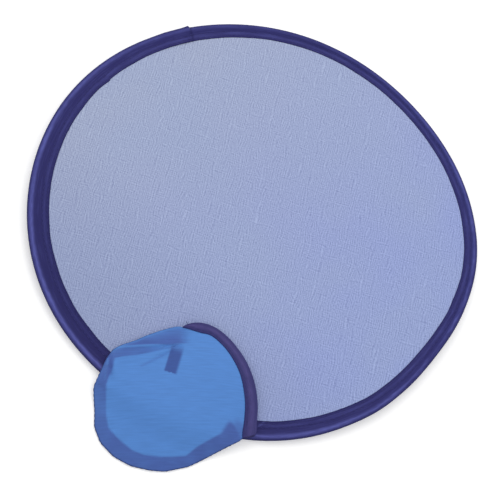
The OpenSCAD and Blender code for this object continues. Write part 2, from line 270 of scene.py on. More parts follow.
def towards(tree, x, y, direction):  # how far a place on the cloth lies in a direction
    return calc(tree, "ADD", calc(tree, "MULTIPLY", x, direction[0]), calc(tree, "MULTIPLY", y, direction[1]))


# Grains of noise, as long and as wide as given, that lie in one direction
def stretchedNoise(tree, vector, length, width, direction=0.0, detail=2.0):
    turned = addNode(tree, "ShaderNodeMapping", {
        "Vector": vector, "Rotation": (0, 0, math.radians(direction)), "Scale": (length, width, 1)},
        vector_type="TEXTURE")
    grain = addNode(tree, "ShaderNodeTexNoise", {"Vector": turned.outputs[0], "Scale": 1.0, "Detail": detail})
    return grain.outputs[0]


# Parallel yarns, from -1 to 1 across each, that stand out in patches and show by least between them
def yarnLines(tree, vector, direction, pitch, patch, least):
    turned = addNode(tree, "ShaderNodeMapping", {
        "Vector": vector, "Rotation": (0, 0, math.radians(direction))}, vector_type="TEXTURE").outputs[0]
    across = addNode(tree, "ShaderNodeSeparateXYZ", {0: turned}).outputs[1]
    drift = stretchedNoise(tree, turned, 16, 5, detail=1.0)
    turns = calc(tree, "ADD", calc(tree, "DIVIDE", across, pitch), calc(tree, "MULTIPLY", drift, 3.0))
    wave = calc(tree, "SINE", calc(tree, "MULTIPLY", turns, 2 * math.pi))
    patches = stretchedNoise(tree, turned, patch, patch * 0.45, detail=1.0)
    shown = remap(tree, patches, 0.42, 0.62, least, 1.0)
    return calc(tree, "MULTIPLY", wave, shown)


# The height of a plain weave, with each thread crowned and going over and under
def plainWeave(tree, x, y, pitch):
    sx, sy = [calc(tree, "SINE", calc(tree, "MULTIPLY", calc(tree, "DIVIDE", place, pitch), math.pi))
              for place in (x, y)]
    over = calc(tree, "MULTIPLY", calc(tree, "MULTIPLY", sx, sy), 0.5)
    warp = calc(tree, "MULTIPLY", calc(tree, "ABSOLUTE", sx), calc(tree, "ADD", 0.5, over))
    weft = calc(tree, "MULTIPLY", calc(tree, "ABSOLUTE", sy), calc(tree, "SUBTRACT", 0.5, over))
    return calc(tree, "MAXIMUM", warp, weft)


def addBump(tree, shader, height, distance, strength, below=None):
    inputs = {"Height": height, "Distance": distance * mm, "Strength": strength}
    if below is not None:
        inputs["Normal"] = below
    node = addNode(tree, "ShaderNodeBump", inputs)
    tree.links.new(node.outputs[0], shader.inputs["Normal"])
    return node.outputs[0]


# The coarse grain and the weave lighten and darken the ground colour, and both stand up in relief
def finishWoven(tree, shader, ground, coarse, weave, look):
    tint = calc(tree, "MULTIPLY", remap(tree, coarse, *look["coarseSpan"], *look["coarseTint"]),
                remap(tree, weave, 0.2, 0.9, *look["weaveTint"]))
    blue = calc(tree, "POWER", tint, look["bluePower"])
    grey = addNode(tree, "ShaderNodeCombineColor", {0: tint, 1: tint, 2: blue}).outputs[0]
    tree.links.new(mixColours(tree, 1.0, ground, grey, "MULTIPLY"), shader.inputs["Base Color"])
    tree.links.new(remap(tree, coarse, 0.3, 0.7, *look["roughness"]), shader.inputs["Roughness"])
    below = addBump(tree, shader, coarse, *look["coarseRelief"])
    addBump(tree, shader, weave, *look["weaveRelief"], below)


# Materials. Tints and roughness are from least to most, a relief is its height and strength, and the
# cloth's yarns are given by direction, pitch, patch, the least that shows and share.
discClothLook = {
    "colour": fromSrgb(158, 172, 207), "paler": fromSrgb(164, 174, 203), "deeper": fromSrgb(148, 162, 217),
    "shaded": fromSrgb(145, 157, 193),
    "deeperTowards": (0.9, -0.45), "shadedTowards": (-0.34, -0.94), "patch": 70,
    "thread": 0.42, "grain": 0.55, "grainAt": 100,
    "yarns": [(100, 1.3, 6, 0.25, 0.22), (8, 1.17, 6, 0.0, 0.17), (132, 1.3, 4.2, 0.0, 0.12)],
    "coarseSpan": (0.15, 0.85), "coarseTint": (0.74, 1.26), "weaveTint": (0.93, 1.05), "bluePower": 0.7,
    "roughness": (0.72, 0.88), "coarseRelief": (0.12, 0.5), "weaveRelief": (0.05, 0.6),
    "sheen": 0.05, "specular": 0.2,
}


def makeDiscCloth():  # streaks of thick and thin yarn lie along the cloth's two directions and on the bias
    look = discClothLook
    material, tree, shader = newMaterial("disc_cloth", {
        "Sheen Weight": look["sheen"], "Specular IOR Level": look["specular"]})
    vector, x, y = clothUv(tree)
    weave = plainWeave(tree, x, y, look["thread"])
    streaks = stretchedNoise(tree, vector, look["grain"] * 2, look["grain"], look["grainAt"], 1.0)
    for direction, pitch, patch, least, share in look["yarns"]:
        yarns = yarnLines(tree, vector, direction, pitch, patch, least)
        streaks = calc(tree, "ADD", streaks, calc(tree, "MULTIPLY", yarns, share))
    across = remap(tree, towards(tree, x, y, look["deeperTowards"]), -100, 100)
    ground = mixColours(tree, across, look["paler"], look["deeper"])
    patches = remap(tree, stretchedNoise(tree, vector, look["patch"], look["patch"]), 0.35, 0.65, 0.0, 0.5)
    ground = mixColours(tree, patches, ground, look["colour"])
    # painted shade, darker towards one side of the disc
    low = remap(tree, towards(tree, x, y, look["shadedTowards"]), 30, 110, 0.0, 0.7)
    ground = mixColours(tree, low, ground, look["shaded"])
    finishWoven(tree, shader, ground, streaks, weave, look)
    return material


# The edge colour is painted shade along the tape's edges; the pale colour is painted highlight, partly the
# tape's stretch
tapeLook = {
    "colour": fromSrgb(46, 45, 104), "edge": fromSrgb(32, 31, 84), "paleAndHighlight": fromSrgb(89, 93, 167),
    "rib": 0.55, "fibre": (2.5, 0.5), "streak": (16, 0.8),
    "coarseSpan": (0.3, 0.7), "coarseTint": (0.88, 1.12), "weaveTint": (0.92, 1.06), "bluePower": 1.0,
    "roughness": (0.53, 0.7), "coarseRelief": (0.08, 0.5), "weaveRelief": (0.06, 0.6), "specular": 0.12,
}
pouchTapeLook = dict(tapeLook, colour=fromSrgb(56, 55, 108), edge=fromSrgb(40, 40, 96),
                     paleAndHighlight=fromSrgb(88, 80, 140))


def makeTape(name, look):  # "light" is painted highlight on the bead and ridges, partly where the tape's stretch turns it pale; "dark" is painted shade at its edges and cut, and darkens it along the seams
    material, tree, shader = newMaterial(name, {"Specular IOR Level": look["specular"]})
    vector, x, y = clothUv(tree)
    weave = plainWeave(tree, x, y, look["rib"])
    fibres = stretchedNoise(tree, vector, *look["fibre"], detail=3.0)
    streaks = remap(tree, stretchedNoise(tree, vector, *look["streak"]), 0.5, 0.72, 0.0, 0.28)
    ground = mixColours(tree, attribute(tree, "light"), look["colour"], look["paleAndHighlight"])
    ground = mixColours(tree, streaks, ground, look["paleAndHighlight"])
    ground = mixColours(tree, attribute(tree, "dark"), ground, look["edge"])
    finishWoven(tree, shader, ground, fibres, weave, look)
    return material


# The second colour darkens the cloth where more plies lie behind, and is painted shade in the folds
pouchClothLook = {
    "colour": fromSrgb(86, 137, 209), "pliesAndShade": fromSrgb(73, 100, 170), "tail": fromSrgb(62, 88, 156),
    "turn": 25, "thread": 0.3, "ripple": (10, 0.85),
    "coarseSpan": (0.3, 0.7), "coarseTint": (0.94, 1.06), "weaveTint": (0.96, 1.03), "bluePower": 1.0,
    "roughness": (0.57, 0.69), "coarseRelief": (0.12, 0.4), "weaveRelief": (0.03, 0.5), "specular": 0.15,
}


def makePouchCloth():  # one painted value darkens it where more plies lie behind, with painted fold shade and ridge highlight; "tail" darkens it where the tape's end lies behind
    look = pouchClothLook
    material, tree, shader = newMaterial("pouch_cloth", {"Specular IOR Level": look["specular"]})
    vector, x, y = clothUv(tree, look["turn"])
    weave = plainWeave(tree, x, y, look["thread"])
    ripple = stretchedNoise(tree, vector, *look["ripple"], detail=1.0)
    ground = mixColours(tree, attribute(tree, "pliesAndShade"), look["colour"], look["pliesAndShade"])
    ground = mixColours(tree, attribute(tree, "tail"), ground, look["tail"])
    finishWoven(tree, shader, ground, ripple, weave, look)
    return material


def makeThread(name, colour):  # plies wind round the thread, which show as slanting bands
    material, tree, shader = newMaterial(name, {"Specular IOR Level": 0.15})
    place = addNode(tree, "ShaderNodeTexCoord").outputs["Object"]
    scaled = addNode(tree, "ShaderNodeMapping", {"Vector": place, "Scale": (1000, 1000, 1000)}).outputs[0]
    plies = addNode(tree, "ShaderNodeTexWave", {
        "Vector": scaled, "Scale": 1.6, "Distortion": 1.5, "Detail": 1.0},
        bands_direction="DIAGONAL").outputs["Fac"]
    pale = tuple(min(1.0, c * 1.2) for c in colour[:3]) + (1.0,)
    tree.links.new(mixColours(tree, plies, colour, pale), shader.inputs["Base Color"])
    tree.links.new(remap(tree, plies, 0, 1, 0.45, 0.65), shader.inputs["Roughness"])
    addBump(tree, shader, plies, 0.05, 0.5)
    return material


def makeSteel(name, colour):  # rolled strip, with fine lines along it and a few dull patches
    material, tree, shader = newMaterial(name, {"Metallic": 1.0})
    place = addNode(tree, "ShaderNodeTexCoord").outputs["Object"]
    patches = stretchedNoise(tree, place, 0.004, 0.004, detail=4.0)
    scaled = addNode(tree, "ShaderNodeMapping", {"Vector": place, "Scale": (60, 60, 9000)}).outputs[0]
    lines = addNode(tree, "ShaderNodeTexNoise", {"Vector": scaled, "Scale": 1.0, "Detail": 3.0}).outputs[0]
    dull = tuple(c * 0.7 for c in colour[:3]) + (1.0,)
    base = mixColours(tree, remap(tree, patches, 0.4, 0.6), colour, dull)
    tree.links.new(base, shader.inputs["Base Color"])
    tree.links.new(remap(tree, lines, 0.3, 0.7, 0.22, 0.42), shader.inputs["Roughness"])
    addBump(tree, shader, lines, 0.02, 0.4)
    return material


discCloth = makeDiscCloth()
discTape = makeTape("disc_tape", tapeLook)
pouchTape = makeTape("pouch_tape", pouchTapeLook)
pouchCloth = makePouchCloth()
discThread = makeThread("disc_thread", fromSrgb(52, 52, 110))
pouchThread = makeThread("pouch_thread", fromSrgb(56, 55, 108))
springSteel = makeSteel("spring_steel", fromSrgb(186, 188, 193))
sleeveMetal = makeSteel("sleeve_metal", fromSrgb(160, 162, 166))
print("materials made")

# Camera, lights and floor
cameraSetup = {
    "distance": 1006.7, "tilt": 27.2, "roll": 25, "lens": 134.5, "shiftX": -0.01, "shiftY": -0.0584,
}


def makeCamera():
    setup = cameraSetup
    data = bpy.data.cameras.new("camera")
    camera = bpy.data.objects.new("camera", data)
    bpy.context.scene.collection.objects.link(camera)
    tilt = Matrix.Rotation(math.radians(setup["tilt"]), 4, "X")
    turn = tilt @ Matrix.Rotation(math.radians(setup["roll"]), 4, "Z")
    middle = Vector((0, foldPoint.y, meanHeight)) * mm
    back = turn @ Vector((0, 0, 1))
    camera.matrix_world = Matrix.Translation(middle + back * setup["distance"] * mm) @ turn
    data.lens = setup["lens"]
    data.sensor_width = 36
    data.shift_x = setup["shiftX"]
    data.shift_y = setup["shiftY"]
    data.clip_start = 0.05
    data.clip_end = 20
    bpy.context.scene.camera = camera


lighting = {"world": 0.77, "key": 3.5, "keySize": 0.8, "keyAt": (-0.08, 0.62, 0.95)}


def makeLights():
    world = bpy.data.worlds.new("studio")
    bpy.context.scene.world = world
    world.use_nodes = True
    tree = world.node_tree
    tree.nodes.clear()
    output = tree.nodes.new("ShaderNodeOutputWorld")
    ray = tree.nodes.new("ShaderNodeLightPath")
    seen = addNode(tree, "ShaderNodeBackground", {"Color": (1, 1, 1, 1), "Strength": 1.0})
    room = addNode(tree, "ShaderNodeBackground", {"Color": (1, 1, 1, 1), "Strength": lighting["world"]})
    direct = calc(tree, "MAXIMUM", ray.outputs["Is Camera Ray"], ray.outputs["Is Glossy Ray"])
    direct = calc(tree, "MAXIMUM", direct, ray.outputs["Is Transmission Ray"])
    pick = addNode(tree, "ShaderNodeMixShader", {0: direct, 1: room.outputs[0], 2: seen.outputs[0]})
    tree.links.new(pick.outputs[0], output.inputs["Surface"])
    data = bpy.data.lights.new("key", "AREA")
    data.energy = lighting["key"]
    data.size = lighting["keySize"]
    key = bpy.data.objects.new("key", data)
    key.location = lighting["keyAt"]
    key.rotation_euler = (-Vector(lighting["keyAt"])).to_track_quat("-Z", "Y").to_euler()
    bpy.context.scene.collection.objects.link(key)


floorSetup = {"size": 3.0, "drop": 0.0003, "colour": (0.88, 0.88, 0.88, 1), "glow": 0.33}


def makeFloor():
    bm = bmesh.new()
    bmesh.ops.create_grid(bm, x_segments=8, y_segments=8, size=floorSetup["size"] / 2)
    bmesh.ops.translate(bm, verts=bm.verts, vec=(0, 0, -floorSetup["drop"]))
    mesh = bpy.data.meshes.new("floor")
    bm.to_mesh(mesh)
    bm.free()
    floor = bpy.data.objects.new("floor", mesh)
    bpy.context.scene.collection.objects.link(floor)
    material, tree, shader = newMaterial("floor", {
        "Base Color": floorSetup["colour"], "Roughness": 0.9, "Specular IOR Level": 0.0,
        "Emission Color": (1, 1, 1, 1)})
    ray = tree.nodes.new("ShaderNodeLightPath")
    glow = calc(tree, "MULTIPLY", ray.outputs["Is Camera Ray"], floorSetup["glow"])
    tree.links.new(glow, shader.inputs["Emission Strength"])
    mesh.materials.append(material)


makeCamera()
makeLights()
makeFloor()
bpy.context.scene.view_settings.view_transform = "Standard"
print("camera, lights and floor set")

# The binding round the disc
binding = {
    "width": 7.75, "widthShift": 2.44, "widthShiftAt": 230,
    "innerSeam": 1.3, "channelSeam": 3.7, "clothReach": 0.8,
    "tape": 0.25, "cloth": 0.2, "slack": 0.04, "clearance": 0.22, "thread": 0.2,
    "beadFrom": 115, "beadPoints": 15, "slopePoints": 4, "steps": 960,
    "overlap": 14, "endShift": -0.4, "curl": 1.0, "curlRun": 1.5, "nickAt": 159, "nick": 0.45,
    "stitchPitch": 3.1, "stitchLength": 2.3, "stitchThickness": 0.34, "stitchStray": 0.06, "pucker": 0.07,
}
# The pale strip along the bead is painted highlight, and partly the tape's stretch over the band. Its fades,
# its shift outwards, what it gains in width and the painted shade inside it are swells.
strip = {
    "out": -0.5, "width": 0.9, "strength": 0.95, "rearFade": (105, 50, 0.75), "sideFade": (-8, 28, 0.5),
    "shift": (-46, 25, 0.4), "wider": (245, 60, 0.35), "shade": (245, 60, 0.55),
    "paleLineFrom": (295.2, 0.1), "paleLineTo": (292.7, 4.9), "paleLineWidth": 0.5, "paleLine": 0.9,
}
discSeams = [(binding["innerSeam"], 0.0), (binding["channelSeam"], 0.4)]  # inset, and its stitches' phase
flapHalf = binding["cloth"] / 2 + binding["slack"] + binding["tape"]
beadRadius = (math.hypot(hoop["bandThickness"], hoop["bandHeight"]) / 2
              + binding["clearance"] + binding["tape"])
overlapAngle = math.degrees(binding["overlap"] / hoop["radius"])


def flapWidth(a):
    return binding["width"] + binding["widthShift"] * cosd(a - binding["widthShiftAt"])


def channelAt(a):
    return flapWidth(a) - binding["channelSeam"]


def innerEdge(a):  # the edge is cut and folded by hand, so it wanders a little
    past = a - binding["nickAt"]
    nick = binding["nick"] * (smooth(past * 3 + 0.5) - smooth(past / 5))
    return 0.22 * roughly(a, 0, 7.0) + 0.1 * roughly(a, 0, 1.8, 4.0) + nick


def plyHeight(a):  # the tape's overlapped end, which curls up a little at its cut
    after = a - hoop["spliceAt"] - binding["endShift"]
    cut = smooth(after / 0.25 + 0.5)
    curl = binding["curl"] * math.exp(-max(0.0, after) / binding["curlRun"])
    return (binding["tape"] + binding["slack"]) * (cut - smooth((after - overlapAngle) / 4)) + curl * cut


def rimPoint(a, out, up, low=0.0):
    r = hoopRadius(a) + out
    x, y = r * cosd(a), r * sind(a)
    return Vector((x, y, max(low, clothHeight(x, y) + up)))


def stitchWave(turns):  # 1 in the middle of a stitch and 0 where the thread goes down
    return 0.5 - 0.5 * math.cos(2 * math.pi * turns)


def bindingSection():  # (kind, across, inset): out over the top, round the bead and back, and so inside
    flap = [("flap", t) for t in (0.0, 0.05, 0.12, 0.2, 0.28, 0.36, 0.44, 0.52, 0.6, 0.68, 0.76, 0.84, 0.92)]
    count = binding["slopePoints"]
    slope = [("slope", i / count) for i in range(count)]
    count = binding["beadPoints"]
    bead = [("bead", binding["beadFrom"] * (1 - 2 * i / (count - 1))) for i in range(count)]
    below = {"flap": "flapBelow", "slope": "slopeBelow"}
    outside = flap + slope + bead + [(below[kind], t) for kind, t in reversed(flap + slope)]
    rows = [(kind, t, 0.0) for kind, t in outside]
    rows += [(kind, t, binding["tape"]) for kind, t in reversed(outside[::2])]
    return rows + rows[:1]


def sectionAt(a, kind, t, inset):  # place in the tape's section: out from the band and up from the cloth
    if kind == "bead":
        radius = beadRadius - inset + plyHeight(a) * (inset == 0)
        radius *= 1 + 0.012 * roughly(a, 3, 6.0, 9.0)
        return radius * cosd(t), radius * sind(t)
    if kind == "slope":
        top = sectionAt(a, "bead", binding["beadFrom"], inset)
        foot = sectionAt(a, "flap", 1.0, inset)
        return mix(foot[0], top[0], t), mix(foot[1], top[1], mix(t, smooth(t), 0.5))
    if kind == "slopeBelow":
        out, up = sectionAt(a, "slope", t, inset)
        return out, -up
    edge = -flapWidth(a) - innerEdge(a)
    out = mix(edge, -channelAt(a) + 0.25, t)
    half = flapHalf - inset
    if inset == 0:
        fromEdge = out - edge
        half += min(plyHeight(a), 0.5) - 0.1 * bump(fromEdge, 0.25)
        half += 0.05 * roughly(a * 1.2, out, 2.5, 2.0) * (1 - bump(fromEdge, 0.4))
        for seam, phase in discSeams:
            wave = stitchWave(hoop["radius"] * math.radians(a) / binding["stitchPitch"] + phase)
            half -= binding["pucker"] * bump(fromEdge - seam, 0.5) * (1.15 - wave)
    return out, half if kind == "flap" else -half


def bindingPoint(a, kind, t, inset):
    return rimPoint(a, *sectionAt(a, kind, t, inset), inset)


def slantedPaleLine(a, fromEdge):  # a thin pale line slants across the flap
    (startAt, startEdge), (endAt, endEdge) = strip["paleLineFrom"], strip["paleLineTo"]
    along = (fromEdge - startEdge) / (endEdge - startEdge)
    off = math.radians(a - mix(startAt, endAt, along)) * hoop["radius"]
    return strip["paleLine"] * bump(off, strip["paleLineWidth"]) * (0 < along < 1)


def paintBinding(a, kind, t):
    out = sectionAt(a, kind, t, 0.0)[0]
    fromEdge = out + flapWidth(a) + innerEdge(a)
    # painted highlight on the top of the bead, weaker towards the rear and one side
    strength = (strip["strength"] - swell(a, strip["rearFade"])) * (0.85 + 0.5 * roughly(a, 1, 9.0, 5.0))
    strength *= 1 + 0.5 * roughly(a, 3 * out, 1.6, 11.0)
    strength -= swell(a, strip["sideFade"])
    wider = swell(a, strip["wider"])
    light = strength * bump(out - strip["out"] - wider - swell(a, strip["shift"]), strip["width"] + wider)
    # painted highlight along the raised middle between the two rows of stitches
    light += 0.16 * bump(fromEdge - 2.4, 1.1) * (1 + roughly(a, t * 8, 5.0, 7.0))
    if kind == "flap":
        light += slantedPaleLine(a, fromEdge)
    seams = max(bump(fromEdge - seam, 0.35) for seam, phase in discSeams)
    # painted shade along the inner edge, on the bead's outer side, at the tape's cut and inside the strip;
    # darker along the seams too
    dark = 0.95 * bump(fromEdge, 0.5) + 0.25 * seams + 0.5 * smooth((out - 0.9) / 0.7)
    dark += 0.7 * bump(a - hoop["spliceAt"] - binding["endShift"] + 0.15, 0.35)
    dark += swell(a, strip["shade"]) * smooth(-out - 1)
    return {"light": min(1.0, light), "dark": min(1.0, dark)}


def makeDiscBinding():
    bm = sweptTape(binding["steps"], bindingSection(), lambda s: 360 * (s % 1),
                   2 * math.pi * hoop["radius"], 200, bindingPoint, paintBinding)
    piece = finishPiece("disc_binding", bm, discTape)
    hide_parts("edge_binding_front", "edge_binding_rear")
    bendAcrossFold(piece)


makeDiscBinding()
print("binding made")

# The disc's cloth, band and sleeve
clothSheet = {
    "rings": 30, "steps": 360, "ripple": 0.07, "ripples": 74, "rippleRun": 7,
    "slack": 0.12, "slackPatch": 38, "slackRun": 20,
}


def makeDiscSheet():
    rings = clothSheet["rings"]
    bm = spun([(i / rings, 0) for i in range(rings + 1)], clothSheet["steps"])
    for vert in bm.verts:
        share = math.hypot(vert.co.x, vert.co.y)
        a = bearing(vert.co.x, vert.co.y)
        r = share * (hoopRadius(a) - channelAt(a) + binding["clothReach"])
        vert.co = (r * cosd(a), r * sind(a), 0)
    flatArea = sum(face.calc_area() for face in bm.faces) * mm * mm
    for vert in bm.verts:
        x, y = vert.co.xy
        a = bearing(x, y)
        vert.co.z = clothHeight(x, y)
        fromEdge = hoopRadius(a) - flapWidth(a) - math.hypot(x, y)
        if fromEdge > 0:
            wave = math.sin(math.radians(a) * clothSheet["ripples"] + 2 * roughly(a, 0, 9))
            vert.co.z += clothSheet["ripple"] * bump(fromEdge, clothSheet["rippleRun"]) * wave
            slack = clothSheet["slack"] * roughly(x, y, clothSheet["slackPatch"], 3.0)
            vert.co.z += slack * smooth(fromEdge / clothSheet["slackRun"])
    setUv(bm, lambda vert: vert.co.xy)
    piece = finishPiece("disc_cloth", bm, discCloth)
    thicken(piece, binding["cloth"])
    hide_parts("membrane_front", "membrane_rear")
    bendAcrossFold(piece)


def makeHoopBand():
    x, z = hoop["bandThickness"] / 2, hoop["bandHeight"] / 2
    r = min(x, z) * 0.6
    corners = [(sx * (x - r), sz * (z - r)) for sx, sz in ((1, -1), (1, 1), (-1, 1), (-1, -1))]
    section = []
    for (cx, cz), start in zip(corners, (-90, 0, 90, 180)):
        section += [(cx + r * cosd(start + s), cz + r * sind(start + s)) for s in (0, 45, 90)]
    section.append(section[0])
    bm = spun([(hoop["radius"] + sx, sz) for sx, sz in section], hoop["steps"])
    for vert in bm.verts:
        a = bearing(vert.co.x, vert.co.y)
        vert.co = rimPoint(a, math.hypot(vert.co.x, vert.co.y) - hoop["radius"], vert.co.z)
    piece = finishPiece("hoop_band", bm, springSteel)
    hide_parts("spring_band_front", "spring_band_rear")
    bendAcrossFold(piece)


def dressSleeve():
    sleeve = frame["nodes"]["splice_sleeve"]
    for place in sleeve.material_slots:
        place.material = sleeveMetal


makeDiscSheet()
makeHoopBand()
dressSleeve()
print("cloth and band made")


# Stitches
def addStitch(bm, middle, along, up, length, thickness):  # one stitch: a flattened, rounded length of thread
    along = along.normalized()
    side = up.cross(along).normalized()
    top = along.cross(side)
    axes = Matrix((along, side, top)).transposed().to_4x4()
    size = Matrix.Diagonal((length / 2, thickness / 2, thickness * 0.4, 1))
    place = Matrix.Translation(middle) @ axes @ size @ Matrix.Rotation(math.pi / 2, 4, "Y")
    bmesh.ops.create_uvsphere(bm, u_segments=6, v_segments=5, radius=1, matrix=place)


# Each stitch is made in a small mesh of its own, which is quicker than in one large one
def joinStitches(stitches):
    bm = bmesh.new()
    for values in stitches:
        small = bmesh.new()
        addStitch(small, *values)
        mesh = bpy.data.meshes.new("stitch")
        small.to_mesh(mesh)
        small.free()
        bm.from_mesh(mesh)
        bpy.data.meshes.remove(mesh)
    return bm


def makeDiscStitches(name, inset, phase, nodes):
    random.seed(11)
    count = round(2 * math.pi * hoop["radius"] / binding["stitchPitch"])
    length = binding["stitchLength"] * (hoop["radius"] - binding["width"] + inset) / hoop["radius"]
    stitches = []
    for i in range(count):
        a = 360 * (i + 0.5 - phase) / count
        stray = random.uniform(-binding["stitchStray"], binding["stitchStray"])
        out = -flapWidth(a) - innerEdge(a) + inset + stray
        for side in (1, -1):
            lift = side * (flapHalf + plyHeight(a) + 0.01)
            before, middle, after = [rimPoint(a + turn, out, lift, low=0.05) for turn in (-0.5, 0, 0.5)]
            up = Vector((0, 0, side))
            stitches.append((middle, after - before, up, length, binding["stitchThickness"]))
    piece = finishPiece(name, joinStitches(stitches), discThread)
    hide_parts(*nodes)
    bendAcrossFold(piece)


makeDiscStitches("inner_stitches", *discSeams[0], ["inner_seam_front", "inner_seam_rear"])
makeDiscStitches("channel_stitches", *discSeams[1], ["channel_seam_front", "channel_seam_rear"])
print("disc stitches made")

# The pouch: u runs out through its mouth and v across it, from the middle between the mouth's corners
pouchTurn = 50
pouchMiddle = Vector(joints["mouth_open"]["pos_m"]) / mm - foldPoint
pouchU = Vector((cosd(pouchTurn), sind(pouchTurn)))
pouchV = Vector((-sind(pouchTurn), cosd(pouchTurn)))
pouch = {
    "cloth": 0.2, "slack": 0.04, "layGap": 0.55, "halfWidth": 34.8, "backEnd": -65.3, "lipEnd": 21.4,
    "edgeGap": 0.8, "mouthGap": 1.6, "puff": 7.5,
    "rimRamp": 14, "drapeFrom": 4, "drapeRun": 14, "rings": 66, "steps": 320, "hemRings": 8,
    "seamSpread": 2.4, "hemSpread": 1.2, "pucker": 0.28, "puckers": 23, "ripple": 0.1,
}
# Outlines, as bearing and distance from the centre of the mouth's curve: the seam's corners, those of
# its turned-in cloth, and the outer and inner edges of the mouth's binding
seamCorners = [
    (61, 38.1), (66, 38.0), (74, 37.2), (91, 36.6), (101, 37.1), (111, 39.7), (119, 41.9), (128, 42.0),
    (138, 42.2), (149, 44.0), (165, 43.6), (175, 46.0), (186, 46.9), (198, 45.9), (210, 43.9),
    (223, 41.1), (234, 39.3), (252, 36.1), (278, 34.3), (300, 39.1),
]
hemCorners = [
    (61, 37.4), (64, 30.0), (69, 25.9), (78, 25.2), (88, 25.4), (97, 26.5), (103, 27.9), (111, 30.3),
    (119, 35.5), (124, 38.6), (133, 36.9), (146, 38.2), (161, 37.8), (171, 39.0), (180, 40.1),
    (187, 39.3), (196, 38.2), (205, 37.6), (214, 36.1), (227, 33.4), (237, 32.0), (250, 31.2),
    (262, 28.1), (276, 27.6), (290, 28.8), (299, 28.3), (308, 28.5),
]
mouthEdge = [
    (-60, 39.2), (-53, 43.4), (-44, 41.9), (-27, 40.6), (-9, 40.1), (9, 40.6), (27, 42.0), (38, 42.7),
    (48, 42.1), (57, 39.9), (61, 38.1),
]
mouthInner = [
    (-60, 38.6), (-56, 37.1), (-50, 35.9), (-40, 34.5), (-20, 33.2), (0, 33.7), (10, 34.3), (27, 36.1),
    (38, 37.3), (46, 36.5), (53, 36.7), (61, 37.5),
]
# The ridge of the fold that runs from the mouth's upper corner, in the same way
ridgeLine = [(56, 27.5), (76, 27.3), (85, 28.6), (98, 32.1), (110, 37.8), (116, 41.5)]
mouth = {
    "centre": -19.97, "from": -53, "to": 61, "innerFrom": -60, "squareRun": 14,
    "drawnIn": 1.3, "drawnTo": -49.5, "clearance": 0.08,
    "tape": 0.25, "slack": 0.12, "steps": 240, "ridge": 0.16, "pucker": 0.06,
    "seamInset": 1.3, "stitchPitch": 3.1, "stitchLength": 2.2, "stitchThickness": 0.34, "stitchStray": 0.06,
    "edgeRadius": 41, "waveRadius": 40, "stitchRadius": 36,  # of its curve, for length, puckers and stitches
}
mouthHalf = pouch["cloth"] / 2 + mouth["slack"] + mouth["tape"]


def pouchXy(u, v):
    return pouchMiddle.xy + pouchU * u + pouchV * v


def lieHeight(x, y):  # what the pouch lies on: the cloth, the rim and, past it, the ground
    a = bearing(x, y)
    out = math.hypot(x, y) - hoopRadius(a)
    rim = hoopHeight(a) + beadRadius + pouch["layGap"]
    if out < 0:
        inside = clothHeight(x, y) + flapHalf + binding["thread"] + pouch["layGap"]
        return mix(rim, inside, smooth(-out / pouch["rimRamp"]))
    return rim * (1 - smooth((out - pouch["drapeFrom"]) / pouch["drapeRun"]))


def gapAt(u, v):  # between the two panels
    length = (pouch["lipEnd"] - pouch["backEnd"]) / 2
    middle = (pouch["lipEnd"] + pouch["backEnd"]) / 2
    puff = max(0.0, 1 - ((u - middle) / length) ** 2 - (v / pouch["halfWidth"]) ** 2)
    return mix(pouch["edgeGap"], pouch["mouthGap"], smooth(u / 15 + 0.7)) + pouch["puff"] * puff


def chordRadius(corners, t):  # distance to the straight chords between corners given by bearing and distance
    t %= 360
    closed = [(corners[-1][0] - 360, corners[-1][1])] + corners + [(corners[0][0] + 360, corners[0][1])]
    for (t0, r0), (t1, r1) in zip(closed, closed[1:]):
        if t0 <= t <= t1:
            return r0 * r1 * sind(t1 - t0) / (r0 * sind(t - t0) + r1 * sind(t1 - t))
    return corners[0][1]


def roundedRadius(corners, t, spread):  # a mean over the spread of bearings, which rounds the corners
    weights = ((-1, 1), (-0.5, 2), (0, 3), (0.5, 2), (1, 1))
    return sum(weight * chordRadius(corners, t + spread * share) for share, weight in weights) / 9


def openRadius(points, t):  # distance along a curve through points given by bearing and distance
    t = max(points[0][0], min(points[-1][0], t))
    last = len(points) - 1
    i = next(i for i in range(last) if t <= points[i + 1][0])
    before, near, far, after = points[max(0, i - 1)], points[i], points[i + 1], points[min(last, i + 2)]
    run = far[0] - near[0]
    share = (t - near[0]) / run
    nearSlope = (far[1] - before[1]) / (far[0] - before[0]) * run
    farSlope = (after[1] - near[1]) / (after[0] - near[0]) * run
    square, cube = share * share, share ** 3
    return ((2 * cube - 3 * square + 1) * near[1] + (cube - 2 * square + share) * nearSlope
            + (3 * square - 2 * cube) * far[1] + (cube - square) * farSlope)


def inMouth(t):
    return mouthEdge[0][0] <= aroundZero(t) <= mouthEdge[-1][0]


def seamRadius(t):  # by the square end of the mouth's binding the cloth is drawn in
    if inMouth(t):
        t = aroundZero(t)
        drawnIn = smooth((t - mouthEdge[0][0]) / 1.5) * smooth((mouth["drawnTo"] - t) / 4)
        return openRadius(mouthEdge, t) - mouth["tape"] - mouth["clearance"] - mouth["drawnIn"] * drawnIn
    return roundedRadius(seamCorners, t, pouch["seamSpread"])


def hemRadius(t):
    if inMouth(t):
        return seamRadius(t)
    shallow = smooth((t % 360 - mouth["to"]) / 5) * smooth((360 + mouthEdge[0][0] - t % 360) / 3)
    return mix(seamRadius(t), roundedRadius(hemCorners, t, pouch["hemSpread"]), shallow)


def rayUv(t, r):
    return r * cosd(t) + mouth["centre"], r * sind(t)


def uvRay(u, v):
    return bearing(u - mouth["centre"], v), math.hypot(u - mouth["centre"], v)


def mouthRuling(t):  # the straight line across the mouth's binding, which turns to its square end
    turned = smooth((mouth["from"] + mouth["squareRun"] - t) / mouth["squareRun"])
    inner = t + (mouth["innerFrom"] - mouth["from"]) * turned
    return Vector(rayUv(inner, openRadius(mouthInner, inner))), Vector(rayUv(t, openRadius(mouthEdge, t)))


def mouthWidth(t):
    inner, outer = mouthRuling(t)
    return max(0.8, (outer - inner).length)


